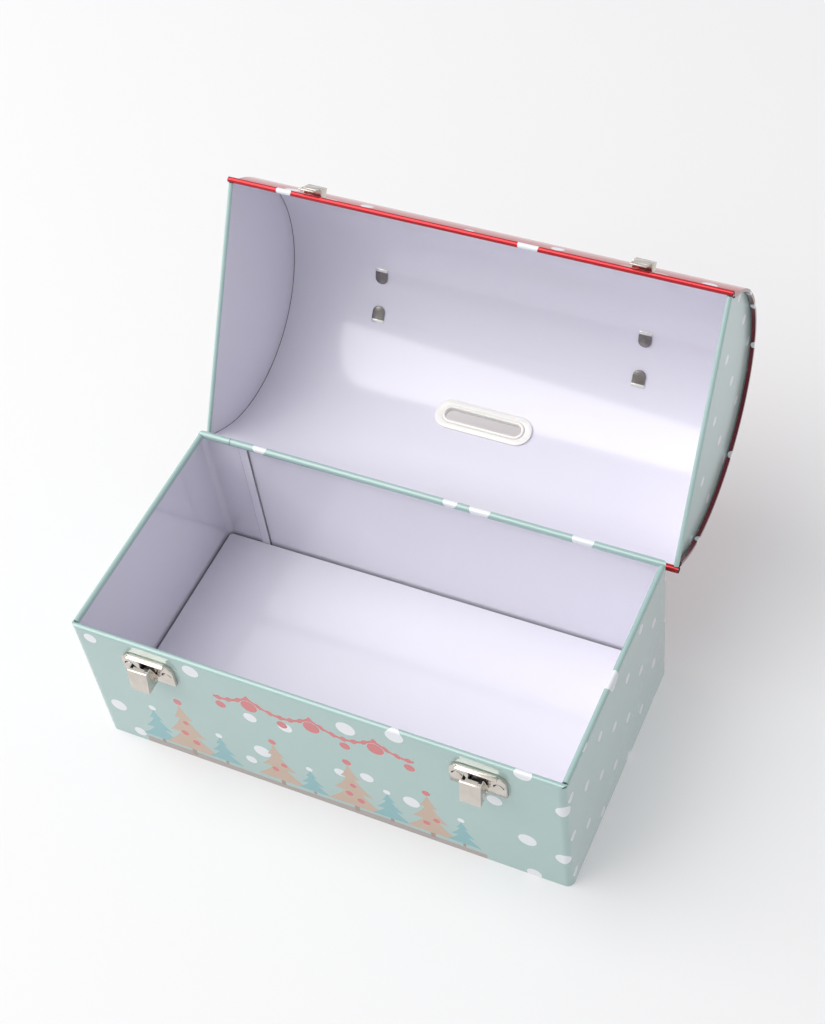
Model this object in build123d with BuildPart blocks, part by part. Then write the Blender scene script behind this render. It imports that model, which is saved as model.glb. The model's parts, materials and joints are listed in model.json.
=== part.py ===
"""Small domed tin trunk, lid open: wrapped base, hinged lid, two latches, a carrying handle and a coin slot.

Millimetres, +X along the front to the right, +Y to the back, +Z up. The origin is the middle of the
underside. The lid's pieces are drawn as if the trunk were shut, on planes turned about the hinge line.
"""

import os
from math import radians, sin, tan

from build123d import *

os.makedirs("parts", exist_ok=True)

# Base
base_length = 200.0
base_width = 105.0
base_height = 71.0
base_sheet = 0.40
corner_radius = 3.0
rim_bead_diameter = 2.4
back_bead_diameter = 3.0
bead_turn = 300.0
bead_end_gap = 0.25
foot_flange = 2.6
floor_sheet = 0.30
floor_height = 5.0
floor_gap = 0.15
floor_corner_radius = 1.6
piece_gap = 0.05
seam_inset = 19.0
seam_width = 4.0
seam_thickness = 0.8
rim_joint_inset = 14.5

# Lid
lid_sheet = 0.25
lid_clearance = 0.40
lid_overlap = 5.0
lid_opening = 121.0
dome_straight = 10.5
rim_overhang = 2.7
front_bead_diameter = 2.2
rear_bead_diameter = 2.8
end_bead_diameter = 2.0
hem_depth = 1.3
hem_width = 1.6
hem_lift = 0.6

# Hinges
hinge_inset = 38.0
hinge_width = 24.0
hinge_drop = 3.4
hinge_pin_diameter = 1.3
hinge_running_fit = 0.05
knuckle_length = 8.0
knuckle_side_gap = 0.3
base_leaf_sheet = 0.5
base_leaf_drop = 12.0
base_leaf_radius = 2.0
lid_leaf_sheet = 0.3
lid_leaf_height = 6.0
lid_leaf_radius = 1.5
lid_leaf_lift = 0.8
stop_reach = 2.3
stop_gap = 0.1

# Latches
latch_inset = 32.8
plate_width = 22.0
plate_height = 11.5
plate_below_lid = 0.5
plate_standoff = 1.7
plate_sheet = 0.5
plate_top_radius = 4.0
plate_foot_radius = 1.2
plate_lip_width = 16.0
plate_lip_reach = 2.9
prong_spacing = 16.0
prong_diameter = 3.4
prong_slit = 0.45
prong_depth = 6.2
latch_pin_diameter = 1.2
latch_pin_lift = 1.8
latch_pin_rise = 2.2
latch_pin_proud = 0.4
latch_running_fit = 0.05
press_gap = 0.02
ear_sheet = 0.5
ear_side_gap = 0.2
ear_margin = 0.7
lever_width = 8.2
lever_sheet = 0.5
lever_height = 10.4
lever_above_plate = 0.5
lever_flare = 1.6
cheek_setback = 1.4
cheek_margin = 1.4
cheek_corner = 0.9
lip_depth = 1.3
nose_width = 5.0
nose_length = 1.0

# Catches
catch_sheet = 0.5
catch_bead_gap = 1.5
catch_plate_width = 19.5
catch_plate_height = 5.0
catch_hole_diameter = 1.2
block_width = 8.0
block_height = 4.4
tongue_standoff = 1.6
tongue_gap = 0.3
tongue_side_gap = 0.3
tongue_drop = 2.6
window_height = 1.6
window_margin = 0.3

# Handle and its brackets
bracket_inset = 41.5
bracket_tilt = 4.9
strap_width = 5.5
strap_sheet = 0.7
strap_leg_spacing = 24.0
strap_hole_gap = 0.15
tab_length = 7.0
tab_tip_radius = 2.6
handle_pin_diameter = 3.6
handle_pin_lift = 3.4
handle_pin_proud = 1.0
handle_running_fit = 0.08
handle_side_gap = 0.5
handle_arm_width = 5.0
handle_thickness = 5.0
handle_drop = 33.5
handle_grip_depth = 7.5
handle_corner_radius = 9.0
handle_inner_radius = 5.0
handle_edge_radius = 1.6

# Coin slot
slot_angle = 41.5
slot_length = 34.0
slot_width = 5.5
slot_flange_length = 43.0
slot_flange_width = 13.0
slot_flange_thickness = 1.2
retainer_thickness = 1.0
collar_wall = 1.2
collar_rise = 0.3
collar_proud = 0.6
collar_hole_gap = 0.2

sides = (("left", -1), ("right", 1))

# The shut lid's edge, the hinge line, and the planes that the lid's pieces are drawn on
lid_edge_height = base_height - lid_overlap
hinge_pin_radius = hinge_pin_diameter / 2
hinge_bore_radius = hinge_pin_radius + hinge_running_fit
hinge_x = base_length / 2 - hinge_inset
hinge_y = base_width / 2 + hinge_bore_radius + base_leaf_sheet
hinge_z = lid_edge_height - hinge_drop
hinge_line = Plane(origin=(0, hinge_y, hinge_z)).rotated((-lid_opening, 0, 0))
lid_origin = hinge_line.from_local_coords((0, -hinge_y, hinge_drop))
lid_section = Plane(origin=lid_origin, x_dir=hinge_line.y_dir, z_dir=hinge_line.x_dir)
lid_cross = Plane(origin=lid_origin, x_dir=hinge_line.x_dir, z_dir=-hinge_line.y_dir)

dome_bore = base_width / 2 + lid_clearance
dome_radius = dome_bore + lid_sheet
dome_half_length = base_length / 2 + rim_overhang
dome_centre = lid_section.from_local_coords((0, dome_straight))
dome_axis = Plane(origin=dome_centre, x_dir=lid_section.x_dir, z_dir=lid_section.z_dir)
end_inner = base_length / 2 + lid_clearance
hem_foot = max(front_bead_diameter, rear_bead_diameter) + hem_lift


def curl_section(centre, diameter, sheet, start, sweep, join):
    """Rolled sheet edge seen end on, open where its lip ends, with a leg that runs on to its wall."""
    with BuildSketch() as section:
        with BuildLine():
            outside = CenterArc(centre, diameter / 2, start, sweep)
            inside = CenterArc(centre, diameter / 2 - sheet, start, sweep)
            outer_x = (outside @ 0).X
            inner_x = (inside @ 0).X
            Polyline(outside @ 0, (outer_x, join), (inner_x, join), inside @ 0)
            Line(outside @ 1, inside @ 1)
        make_face()
    return section.sketch


def arch_band(outer_radius, inner_radius, foot):
    """Band between two offsets of the dome's outline, with its feet at a height above the lid's edge."""
    with BuildSketch() as band:
        with BuildLine():
            crown = CenterArc((0, dome_straight), outer_radius, 0, 180)
            soffit = CenterArc((0, dome_straight), inner_radius, 0, 180)
            Polyline(crown @ 0, (outer_radius, foot), (inner_radius, foot), soffit @ 0)
            Polyline(crown @ 1, (-outer_radius, foot), (-inner_radius, foot), soffit @ 1)
        make_face()
    return band.sketch


# Base wall: one strip wrapped round the four sides, its top edges curled inward, its foot turned in
rim_radius = rim_bead_diameter / 2
back_radius = back_bead_diameter / 2
rim_height = base_height - rim_radius
back_height = base_height - back_radius
wall_top = min(rim_height, back_height)
rim_join = wall_top - base_sheet
wall_inner_length = base_length - 2 * base_sheet
wall_inner_width = base_width - 2 * base_sheet
side_curl_front = base_width / 2 - rim_bead_diameter - bead_end_gap
side_curl_back = base_width / 2 - back_bead_diameter - bead_end_gap
seam_foot = base_sheet + floor_sheet + piece_gap

with BuildPart() as base_wall:
    with BuildSketch():
        RectangleRounded(base_length, base_width, corner_radius)
        RectangleRounded(wall_inner_length, wall_inner_width, corner_radius - base_sheet, mode=Mode.SUBTRACT)
    extrude(amount=wall_top)
    with BuildSketch():
        RectangleRounded(base_length, base_width, corner_radius)
        Rectangle(base_length - 2 * foot_flange, base_width - 2 * foot_flange, mode=Mode.SUBTRACT)
    extrude(amount=base_sheet)
    with BuildSketch(Plane.YZ):
        front_centre = (-base_width / 2 + rim_radius, rim_height)
        add(curl_section(front_centre, rim_bead_diameter, base_sheet, 180, -bead_turn, rim_join))
        back_centre = (base_width / 2 - back_radius, back_height)
        add(curl_section(back_centre, back_bead_diameter, base_sheet, 0, bead_turn, rim_join))
    extrude(amount=base_length / 2, both=True)
    with BuildSketch(Plane.XZ.offset(side_curl_front)):
        left_centre = (-base_length / 2 + rim_radius, rim_height)
        add(curl_section(left_centre, rim_bead_diameter, base_sheet, 180, -bead_turn, rim_join))
        right_centre = (base_length / 2 - rim_radius, rim_height)
        add(curl_section(right_centre, rim_bead_diameter, base_sheet, 0, bead_turn, rim_join))
    extrude(amount=-side_curl_front - side_curl_back)
    with BuildSketch():
        RectangleRounded(base_length, base_width, corner_radius)
    extrude(amount=base_height, mode=Mode.INTERSECT)
    # Flattened lock seam inside the back wall, and the joint of the curl beside it
    with BuildSketch(Plane.XY.offset(seam_foot)):
        with Locations((-base_length / 2 + seam_inset, wall_inner_width / 2)):
            Rectangle(seam_width, seam_thickness, align=(Align.CENTER, Align.MAX))
    extrude(amount=base_height - back_bead_diameter - seam_foot)
    with BuildSketch(Plane.XY.offset(base_height)):
        with Locations((-base_length / 2 + rim_joint_inset, base_width / 2)):
            Rectangle(bead_end_gap, back_bead_diameter, align=(Align.CENTER, Align.MAX))
    extrude(amount=-back_bead_diameter, mode=Mode.SUBTRACT)
base_wall.part.label = "base_wall"
export_step(base_wall.part, "parts/base_wall.step")

# Base bottom: a shallow pressed pan, its rim lying on the wall's turned-in foot
pan_length = wall_inner_length - 2 * piece_gap
pan_width = wall_inner_width - 2 * piece_gap
pan_radius = corner_radius - base_sheet - piece_gap
floor_inset = seam_thickness + floor_gap
floor_length = pan_length - 2 * floor_inset
floor_width = pan_width - 2 * floor_inset
hollow_length = floor_length - 2 * floor_sheet
hollow_width = floor_width - 2 * floor_sheet

with BuildPart() as base_bottom:
    with BuildSketch(Plane.XY.offset(base_sheet)):
        RectangleRounded(pan_length, pan_width, pan_radius)
    extrude(amount=floor_sheet)
    with BuildSketch(Plane.XY.offset(base_sheet)):
        RectangleRounded(floor_length, floor_width, floor_corner_radius)
    extrude(amount=floor_height - base_sheet)
    with BuildSketch(Plane.XY.offset(base_sheet)):
        RectangleRounded(hollow_length, hollow_width, floor_corner_radius - floor_sheet)
    extrude(amount=floor_height - floor_sheet - base_sheet, mode=Mode.SUBTRACT)
base_bottom.part.label = "base_bottom"
export_step(base_bottom.part, "parts/base_bottom.step")

# Hinges: a leaf on the back wall with a stop lug, a pin, and a leaf on the lid, once on each side
base_knuckle_radius = hinge_bore_radius + base_leaf_sheet
lid_knuckle_radius = hinge_bore_radius + lid_leaf_sheet
knuckle_room = knuckle_length + 2 * knuckle_side_gap
lid_leaf_offset = hinge_y - dome_radius - lid_leaf_sheet
stop_top = lid_leaf_offset / sin(radians(lid_opening)) + stop_reach / tan(radians(lid_opening)) - stop_gap
stop_length = hinge_y + stop_reach - base_width / 2
lid_leaf_foot = rear_bead_diameter + lid_leaf_lift
neck_foot = hinge_bore_radius - hinge_drop
neck_height = lid_leaf_foot + lid_leaf_height / 2 - neck_foot

for side, sign in sides:
    with BuildPart() as base_leaf:
        with BuildSketch(Plane.YZ.offset(sign * hinge_x)):
            with Locations((base_width / 2, hinge_z)):
                Rectangle(base_leaf_sheet, base_leaf_drop, align=(Align.MIN, Align.MAX))
        extrude(amount=hinge_width / 2, both=True)
        fillet(base_leaf.edges().filter_by(Axis.Y).group_by(Axis.Z)[0], base_leaf_radius)
        with BuildSketch(Plane.YZ.offset(sign * hinge_x)):
            with Locations((hinge_y, hinge_z)):
                Circle(base_knuckle_radius)
                Circle(hinge_bore_radius, mode=Mode.SUBTRACT)
        extrude(amount=hinge_width / 2, both=True)
        with BuildSketch(Plane.YZ.offset(sign * hinge_x)):
            with Locations((hinge_y, hinge_z)):
                Rectangle(2 * base_knuckle_radius, 2 * base_knuckle_radius)
        extrude(amount=knuckle_room / 2, both=True, mode=Mode.SUBTRACT)
        with BuildSketch(Plane.YZ.offset(sign * hinge_x)):
            with Locations((base_width / 2, hinge_z + stop_top)):
                Rectangle(stop_length, base_leaf_sheet, align=(Align.MIN, Align.MAX))
        extrude(amount=knuckle_length / 2, both=True)
    base_leaf.part.label = "hinge_leaf_base_" + side
    export_step(base_leaf.part, "parts/hinge_leaf_base_" + side + ".step")

    with BuildPart() as hinge_pin:
        with BuildSketch(Plane.YZ.offset(sign * hinge_x)):
            with Locations((hinge_y, hinge_z)):
                Circle(hinge_pin_radius)
        extrude(amount=hinge_width / 2, both=True)
    hinge_pin.part.label = "hinge_pin_" + side
    export_step(hinge_pin.part, "parts/hinge_pin_" + side + ".step")

    with BuildPart() as lid_leaf:
        with BuildSketch(lid_section.offset(sign * hinge_x)):
            with Locations((dome_radius, neck_foot)):
                Rectangle(lid_leaf_sheet, neck_height, align=(Align.MIN, Align.MIN))
            with Locations((hinge_y, -hinge_drop)):
                Circle(lid_knuckle_radius)
                Circle(hinge_bore_radius, mode=Mode.SUBTRACT)
        extrude(amount=knuckle_length / 2, both=True)
        with BuildSketch(lid_cross.offset(-dome_radius)):
            with Locations((sign * hinge_x, lid_leaf_foot + lid_leaf_height / 2)):
                RectangleRounded(hinge_width, lid_leaf_height, lid_leaf_radius)
        extrude(amount=-lid_leaf_sheet)
    lid_leaf.part.label = "hinge_leaf_lid_" + side
    export_step(lid_leaf.part, "parts/hinge_leaf_lid_" + side + ".step")

# Planes of the handle's straps, which stand a little in front of the crown, and of the coin slot
bracket_x = base_length / 2 - bracket_inset
strap_section = dome_axis.rotated((bracket_tilt, 0, 0))
strap_plan = Plane(origin=dome_centre, x_dir=dome_axis.z_dir, z_dir=strap_section.y_dir)
strap_leg_middle = (strap_leg_spacing - strap_sheet) / 2
slot_section = dome_axis.rotated((-slot_angle, 0, 0))
slot_plan = Plane(origin=dome_centre, x_dir=dome_axis.z_dir, z_dir=slot_section.y_dir)
collar_length = slot_length + 2 * collar_wall
collar_width = slot_width + 2 * collar_wall

# Lid dome: one sheet over front, top and back, curled outward at both edges and hemmed at both ends
front_curl_radius = front_bead_diameter / 2
rear_curl_radius = rear_bead_diameter / 2
sheet_foot = max(front_curl_radius, rear_curl_radius)
lid_join = sheet_foot + lid_sheet
hem_inner = dome_radius - hem_depth

with BuildPart() as lid_dome:
    with BuildSketch(lid_section.offset(dome_half_length)):
        add(arch_band(dome_radius, hem_inner, hem_foot))
    extrude(amount=-lid_sheet)
    with BuildSketch(lid_section.offset(dome_half_length)):
        add(arch_band(hem_inner + lid_sheet, hem_inner, hem_foot))
    extrude(amount=-hem_width)
    mirror(about=Plane.YZ)
    with BuildSketch(lid_section):
        add(arch_band(dome_radius, dome_bore, sheet_foot))
        front_curl = (-dome_bore - front_curl_radius, front_curl_radius)
        add(curl_section(front_curl, front_bead_diameter, lid_sheet, 0, -bead_turn, lid_join))
        rear_curl = (dome_bore + rear_curl_radius, rear_curl_radius)
        add(curl_section(rear_curl, rear_bead_diameter, lid_sheet, 180, bead_turn, lid_join))
    extrude(amount=dome_half_length, both=True)
    with BuildSketch(lid_cross.offset(-dome_radius)):
        with Locations((-hinge_x, lid_leaf_foot), (hinge_x, lid_leaf_foot)):
            Rectangle(knuckle_room, lid_leaf_foot + rear_bead_diameter, align=(Align.CENTER, Align.MAX))
    extrude(amount=-rear_bead_diameter, mode=Mode.SUBTRACT)
    with BuildSketch(slot_plan.offset(dome_radius / 2)):
        SlotOverall(collar_length + 2 * collar_hole_gap, collar_width + 2 * collar_hole_gap)
    extrude(amount=dome_radius, mode=Mode.SUBTRACT)
    with BuildSketch(strap_plan.offset(dome_radius / 2)):
        with GridLocations(2 * bracket_x, 2 * strap_leg_middle, 2, 2):
            Rectangle(strap_width + 2 * strap_hole_gap, strap_sheet + 2 * strap_hole_gap)
    extrude(amount=dome_radius, mode=Mode.SUBTRACT)
lid_dome.part.label = "lid_dome"
export_step(lid_dome.part, "parts/lid_dome.step")

# Lid ends: D-shaped panels, flanged into the dome's hem, their straight edges curled outward
panel_radius = dome_bore - piece_gap
end_curl_radius = end_bead_diameter / 2
end_join = end_curl_radius + lid_sheet
flange_length = dome_half_length - lid_sheet - piece_gap - end_inner

for side, sign in sides:
    with BuildPart() as lid_end:
        with BuildSketch(lid_section.offset(sign * end_inner)):
            with BuildLine():
                crown = CenterArc((0, dome_straight), panel_radius, 0, 180)
                right_foot = (panel_radius, end_curl_radius)
                left_foot = (-panel_radius, end_curl_radius)
                Polyline(crown @ 0, right_foot, left_foot, crown @ 1)
            make_face()
        extrude(amount=sign * lid_sheet)
        with BuildSketch(lid_section.offset(sign * end_inner)):
            add(arch_band(panel_radius, panel_radius - lid_sheet, hem_foot))
        extrude(amount=sign * flange_length)
        with BuildSketch(lid_cross):
            end_curl = (sign * (end_inner + end_curl_radius), end_curl_radius)
            start = 90 + sign * 90
            add(curl_section(end_curl, end_bead_diameter, lid_sheet, start, sign * bead_turn, end_join))
        extrude(amount=panel_radius, both=True)
    lid_end.part.label = "lid_end_" + side
    export_step(lid_end.part, "parts/lid_end_" + side + ".step")

# Latches: a dished plate on the front wall with two ears, a pin through them, and a channel lever
latch_x = base_length / 2 - latch_inset
front_wall = Plane.XZ.offset(base_width / 2)
plate_top = lid_edge_height - plate_below_lid
plate_pocket = plate_standoff - plate_sheet
prong_room = prong_diameter + 2 * prong_slit
lever_top = plate_top + lever_above_plate
lever_foot = lever_top - lever_height
latch_pin_z = lever_foot + latch_pin_rise
latch_pin_reach = plate_standoff + latch_pin_lift
latch_pin_radius = latch_pin_diameter / 2
ear_radius = latch_pin_radius + ear_margin
cheek_inner = lever_width / 2 - lever_sheet
ear_outer = cheek_inner - ear_side_gap
tongue_back = plate_lip_reach + tongue_standoff
catch_reach = tongue_back + catch_sheet
lip_back = catch_reach + tongue_gap + nose_length
lever_top_reach = lip_back + lip_depth
lever_foot_reach = lever_top_reach + lever_flare
cheek_top_back = plate_lip_reach + cheek_setback
cheek_back = latch_pin_reach - cheek_margin


def before_wall(out, height):
    """Point in a side view, at a distance out from the base's front wall."""
    return (-base_width / 2 - out, height)


def plate_outline(centre_x, inset):
    """Outline of a latch plate on the front wall, drawn smaller by an inset."""
    with BuildSketch() as outline:
        with Locations((centre_x, plate_top - plate_height / 2)):
            Rectangle(plate_width - 2 * inset, plate_height - 2 * inset)
        corners = outline.vertices().group_by(Axis.Y)
        fillet(corners[-1], plate_top_radius - inset)
        fillet(corners[0], plate_foot_radius - inset)
    return outline.sketch


for side, sign in sides:
    middle_x = sign * latch_x
    with BuildPart() as latch_plate:
        with BuildSketch(front_wall):
            add(plate_outline(middle_x, 0))
        extrude(amount=plate_standoff)
        with BuildSketch(front_wall):
            add(plate_outline(middle_x, plate_sheet))
        extrude(amount=plate_pocket, mode=Mode.SUBTRACT)
        with BuildSketch(front_wall.offset(plate_pocket)):
            with Locations((middle_x, plate_top)):
                Rectangle(plate_lip_width, plate_sheet, align=(Align.CENTER, Align.MAX))
        extrude(amount=plate_lip_reach - plate_pocket)
        with BuildSketch(front_wall.offset(plate_pocket)):
            with Locations((middle_x, plate_top - prong_depth)):
                with GridLocations(prong_spacing, 0, 2, 1):
                    Circle(prong_diameter / 2 + prong_slit)
                    Circle(prong_diameter / 2, mode=Mode.SUBTRACT)
                    Rectangle(prong_room, prong_room, align=(Align.CENTER, Align.MAX), mode=Mode.SUBTRACT)
        extrude(amount=plate_sheet, mode=Mode.SUBTRACT)
        for ear_x in (middle_x - ear_outer, middle_x + ear_outer - ear_sheet):
            with BuildSketch(Plane.YZ.offset(ear_x)):
                with Locations(before_wall(latch_pin_reach, latch_pin_z)):
                    ear_length = latch_pin_reach - plate_pocket
                    Rectangle(ear_length, 2 * ear_radius, align=(Align.MIN, Align.CENTER))
                    Circle(ear_radius)
                    Circle(latch_pin_radius + press_gap, mode=Mode.SUBTRACT)
            extrude(amount=ear_sheet)
    latch_plate.part.label = "latch_plate_" + side
    export_step(latch_plate.part, "parts/latch_plate_" + side + ".step")

    with BuildPart() as latch_pin:
        with BuildSketch(Plane.YZ.offset(middle_x)):
            with Locations(before_wall(latch_pin_reach, latch_pin_z)):
                Circle(latch_pin_radius)
        extrude(amount=lever_width / 2 + latch_pin_proud, both=True)
    latch_pin.part.label = "latch_pin_" + side
    export_step(latch_pin.part, "parts/latch_pin_" + side + ".step")

    with BuildPart() as lever:
        with BuildSketch(Plane.YZ.offset(middle_x)):
            with BuildLine():
                Polyline(
                    before_wall(cheek_top_back, lever_top),
                    before_wall(lever_top_reach, lever_top),
                    before_wall(lever_foot_reach, lever_foot),
                    before_wall(cheek_back + cheek_corner, lever_foot),
                    before_wall(cheek_back, lever_foot + cheek_corner),
                    before_wall(cheek_back, latch_pin_z + cheek_margin),
                    close=True,
                )
            make_face()
            with Locations(before_wall(latch_pin_reach, latch_pin_z)):
                Circle(latch_pin_radius + latch_running_fit, mode=Mode.SUBTRACT)
        extrude(amount=lever_width / 2, both=True)
        with BuildSketch(Plane.YZ.offset(middle_x)):
            with BuildLine():
                Polyline(
                    before_wall(0, lever_foot),
                    before_wall(lever_foot_reach - lever_sheet, lever_foot),
                    before_wall(lever_top_reach - lever_sheet, lever_top - lever_sheet),
                    before_wall(0, lever_top - lever_sheet),
                    close=True,
                )
            make_face()
        extrude(amount=cheek_inner, both=True, mode=Mode.SUBTRACT)
        with BuildSketch(Plane.XY.offset(lever_top)):
            with Locations((middle_x, -base_width / 2 - lip_back)):
                Rectangle(2 * cheek_inner, lip_back, align=(Align.CENTER, Align.MIN))
                Rectangle(nose_width, nose_length, align=(Align.CENTER, Align.MIN), mode=Mode.SUBTRACT)
        extrude(amount=-lever_sheet, mode=Mode.SUBTRACT)
    lever.part.label = "latch_lever_" + side
    export_step(lever.part, "parts/latch_lever_" + side + ".step")

# Catches: an eared plate on the lid with a hollow block, whose outer wall runs on as a windowed tongue
lid_front = lid_cross.offset(dome_radius)
catch_foot = front_bead_diameter + catch_bead_gap
catch_depth = catch_reach - lid_clearance - lid_sheet
catch_face = lid_front.offset(catch_depth - catch_sheet)
tongue_width = 2 * (cheek_inner - tongue_side_gap)
tongue_height = tongue_drop + catch_foot + catch_sheet
window_width = nose_width + 2 * window_margin
window_foot = lever_top - lever_sheet - window_margin - lid_edge_height
catch_hole_spacing = catch_plate_width - catch_plate_height

for side, sign in sides:
    middle_x = sign * latch_x
    with BuildPart() as catch:
        with BuildSketch(lid_front):
            with Locations((middle_x, catch_foot + catch_plate_height / 2)):
                SlotOverall(catch_plate_width, catch_plate_height)
                with GridLocations(catch_hole_spacing, 0, 2, 1):
                    Circle(catch_hole_diameter / 2, mode=Mode.SUBTRACT)
        extrude(amount=catch_sheet)
        with BuildSketch(lid_front):
            with Locations((middle_x, catch_foot)):
                Rectangle(block_width, block_height, align=(Align.CENTER, Align.MIN))
        extrude(amount=catch_depth)
        with BuildSketch(lid_front.offset(catch_sheet)):
            with Locations((middle_x, catch_foot + catch_sheet)):
                Rectangle(block_width - 2 * catch_sheet, block_height, align=(Align.CENTER, Align.MIN))
        extrude(amount=catch_depth - 2 * catch_sheet, mode=Mode.SUBTRACT)
        with BuildSketch(catch_face):
            with Locations((middle_x, -tongue_drop)):
                Rectangle(tongue_width, tongue_height, align=(Align.CENTER, Align.MIN))
            with Locations((middle_x, window_foot)):
                Rectangle(window_width, window_height, align=(Align.CENTER, Align.MIN), mode=Mode.SUBTRACT)
        extrude(amount=catch_sheet)
    catch.part.label = "catch_" + side
    export_step(catch.part, "parts/catch_" + side + ".step")

# Handle brackets: a strap with a hump over the handle's pin, two legs through the dome, two tabs inside
handle_pin_height = dome_radius + handle_pin_lift
handle_pin_radius = handle_pin_diameter / 2
hump_bore = handle_pin_radius + handle_running_fit
hump_radius = hump_bore + strap_sheet
strap_top = handle_pin_height + hump_radius
tab_outer = dome_bore - piece_gap
tab_inner = tab_outer - strap_sheet
tab_room = strap_leg_spacing - 2 * tab_length
upright = (Align.CENTER, Align.MIN)
hanging = (Align.CENTER, Align.MAX)

for side, sign in sides:
    bracket_plane = strap_section.offset(sign * bracket_x)
    with BuildPart() as bracket:
        with BuildSketch(bracket_plane):
            Circle(tab_outer)
            Circle(tab_inner, mode=Mode.SUBTRACT)
            Rectangle(strap_leg_spacing, strap_top, align=upright, mode=Mode.INTERSECT)
            Rectangle(tab_room, strap_top, align=upright, mode=Mode.SUBTRACT)
        extrude(amount=strap_width / 2, both=True)
        tab_edges = bracket.edges().filter_by(Axis(dome_centre, strap_section.y_dir))
        across = tab_edges.group_by(Axis(dome_centre, strap_section.x_dir))
        fillet(across[1] + across[2], tab_tip_radius)
        with BuildSketch(bracket_plane):
            Circle(dome_radius + strap_sheet)
            with Locations((0, handle_pin_height)):
                Circle(hump_radius)
                Rectangle(2 * hump_radius, handle_pin_height, align=hanging)
                Circle(hump_bore, mode=Mode.SUBTRACT)
                Rectangle(2 * hump_bore, handle_pin_height, align=hanging, mode=Mode.SUBTRACT)
            Circle(dome_radius, mode=Mode.SUBTRACT)
            Rectangle(strap_leg_spacing, strap_top, align=upright, mode=Mode.INTERSECT)
        extrude(amount=strap_width / 2, both=True)
        for leg_x in (-strap_leg_middle, strap_leg_middle):
            with BuildSketch(bracket_plane):
                Circle(dome_radius + strap_sheet)
                Circle(tab_inner, mode=Mode.SUBTRACT)
                with Locations((leg_x, 0)):
                    Rectangle(strap_sheet, strap_top, align=upright, mode=Mode.INTERSECT)
            extrude(amount=strap_width / 2, both=True)
    bracket.part.label = "handle_bracket_" + side
    export_step(bracket.part, "parts/handle_bracket_" + side + ".step")

# Coin slot: a grommet through the dome, clamped by a retainer ring on the inside
retainer_inner = dome_bore - retainer_thickness
collar_foot = retainer_inner - collar_proud
collar_top = dome_radius + slot_flange_thickness + collar_rise

with BuildPart() as slot_grommet:
    with BuildSketch(slot_plan.offset(dome_radius / 2)):
        SlotOverall(slot_flange_length, slot_flange_width)
    extrude(amount=dome_radius)
    with BuildSketch(dome_axis):
        Circle(dome_radius + slot_flange_thickness)
        Circle(dome_radius, mode=Mode.SUBTRACT)
    extrude(amount=slot_flange_length, both=True, mode=Mode.INTERSECT)
    with BuildSketch(slot_plan.offset(collar_foot)):
        SlotOverall(collar_length, collar_width)
    extrude(amount=collar_top - collar_foot)
    with BuildSketch(slot_plan.offset(dome_radius / 2)):
        SlotOverall(slot_length, slot_width)
    extrude(amount=dome_radius, mode=Mode.SUBTRACT)
slot_grommet.part.label = "slot_grommet"
export_step(slot_grommet.part, "parts/slot_grommet.step")

with BuildPart() as slot_retainer:
    with BuildSketch(slot_plan.offset(dome_radius / 2)):
        SlotOverall(slot_flange_length, slot_flange_width)
        SlotOverall(collar_length + 2 * piece_gap, collar_width + 2 * piece_gap, mode=Mode.SUBTRACT)
    extrude(amount=dome_radius)
    with BuildSketch(dome_axis):
        Circle(dome_bore)
        Circle(retainer_inner, mode=Mode.SUBTRACT)
    extrude(amount=slot_flange_length, both=True, mode=Mode.INTERSECT)
slot_retainer.part.label = "slot_retainer"
export_step(slot_retainer.part, "parts/slot_retainer.step")

# Handle: a moulded bail, hanging straight down from its two pins
handle_half = bracket_x - strap_width / 2 - handle_side_gap
arm_inner = handle_half - handle_arm_width
grip_inner = handle_drop - handle_grip_depth
pin_point = strap_section.from_local_coords((0, handle_pin_height))
pin_length = bracket_x + strap_width / 2 + handle_pin_proud - handle_half
bail_plane = Plane(origin=pin_point, x_dir=(1, 0, 0), z_dir=(0, 1, 0))

with BuildPart() as handle:
    with BuildSketch(bail_plane):
        RectangleRounded(2 * handle_half, 2 * handle_drop, handle_corner_radius)
        RectangleRounded(2 * arm_inner, 2 * grip_inner, handle_inner_radius, mode=Mode.SUBTRACT)
        Rectangle(2 * handle_half, handle_drop, align=hanging, mode=Mode.SUBTRACT)
    extrude(amount=handle_thickness / 2, both=True)
    rims = handle.faces().filter_by(Axis.Y).edges()
    fillet(rims - rims.group_by(Axis.Z)[-1], handle_edge_radius)
    for side, sign in sides:
        with BuildSketch(Plane.YZ.offset(sign * handle_half)):
            with Locations((pin_point.Y, pin_point.Z)):
                Circle(handle_thickness / 2)
        extrude(amount=-sign * handle_arm_width)
        with BuildSketch(Plane.YZ.offset(sign * handle_half)):
            with Locations((pin_point.Y, pin_point.Z)):
                Circle(handle_pin_radius)
        extrude(amount=sign * pin_length)
handle.part.label = "handle"
export_step(handle.part, "parts/handle.step")
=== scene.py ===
"""Looks of a small domed tin trunk that stands open: printed tinplate, nickel fittings, a plastic coin slot.

The sections follow the trunk as it is put together: base, hinges, latches, lid, catches, straps, slot and
handle.
"""

import json
from math import cos, radians, sin

import bmesh
import bpy
from mathutils import Matrix, Vector

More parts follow.
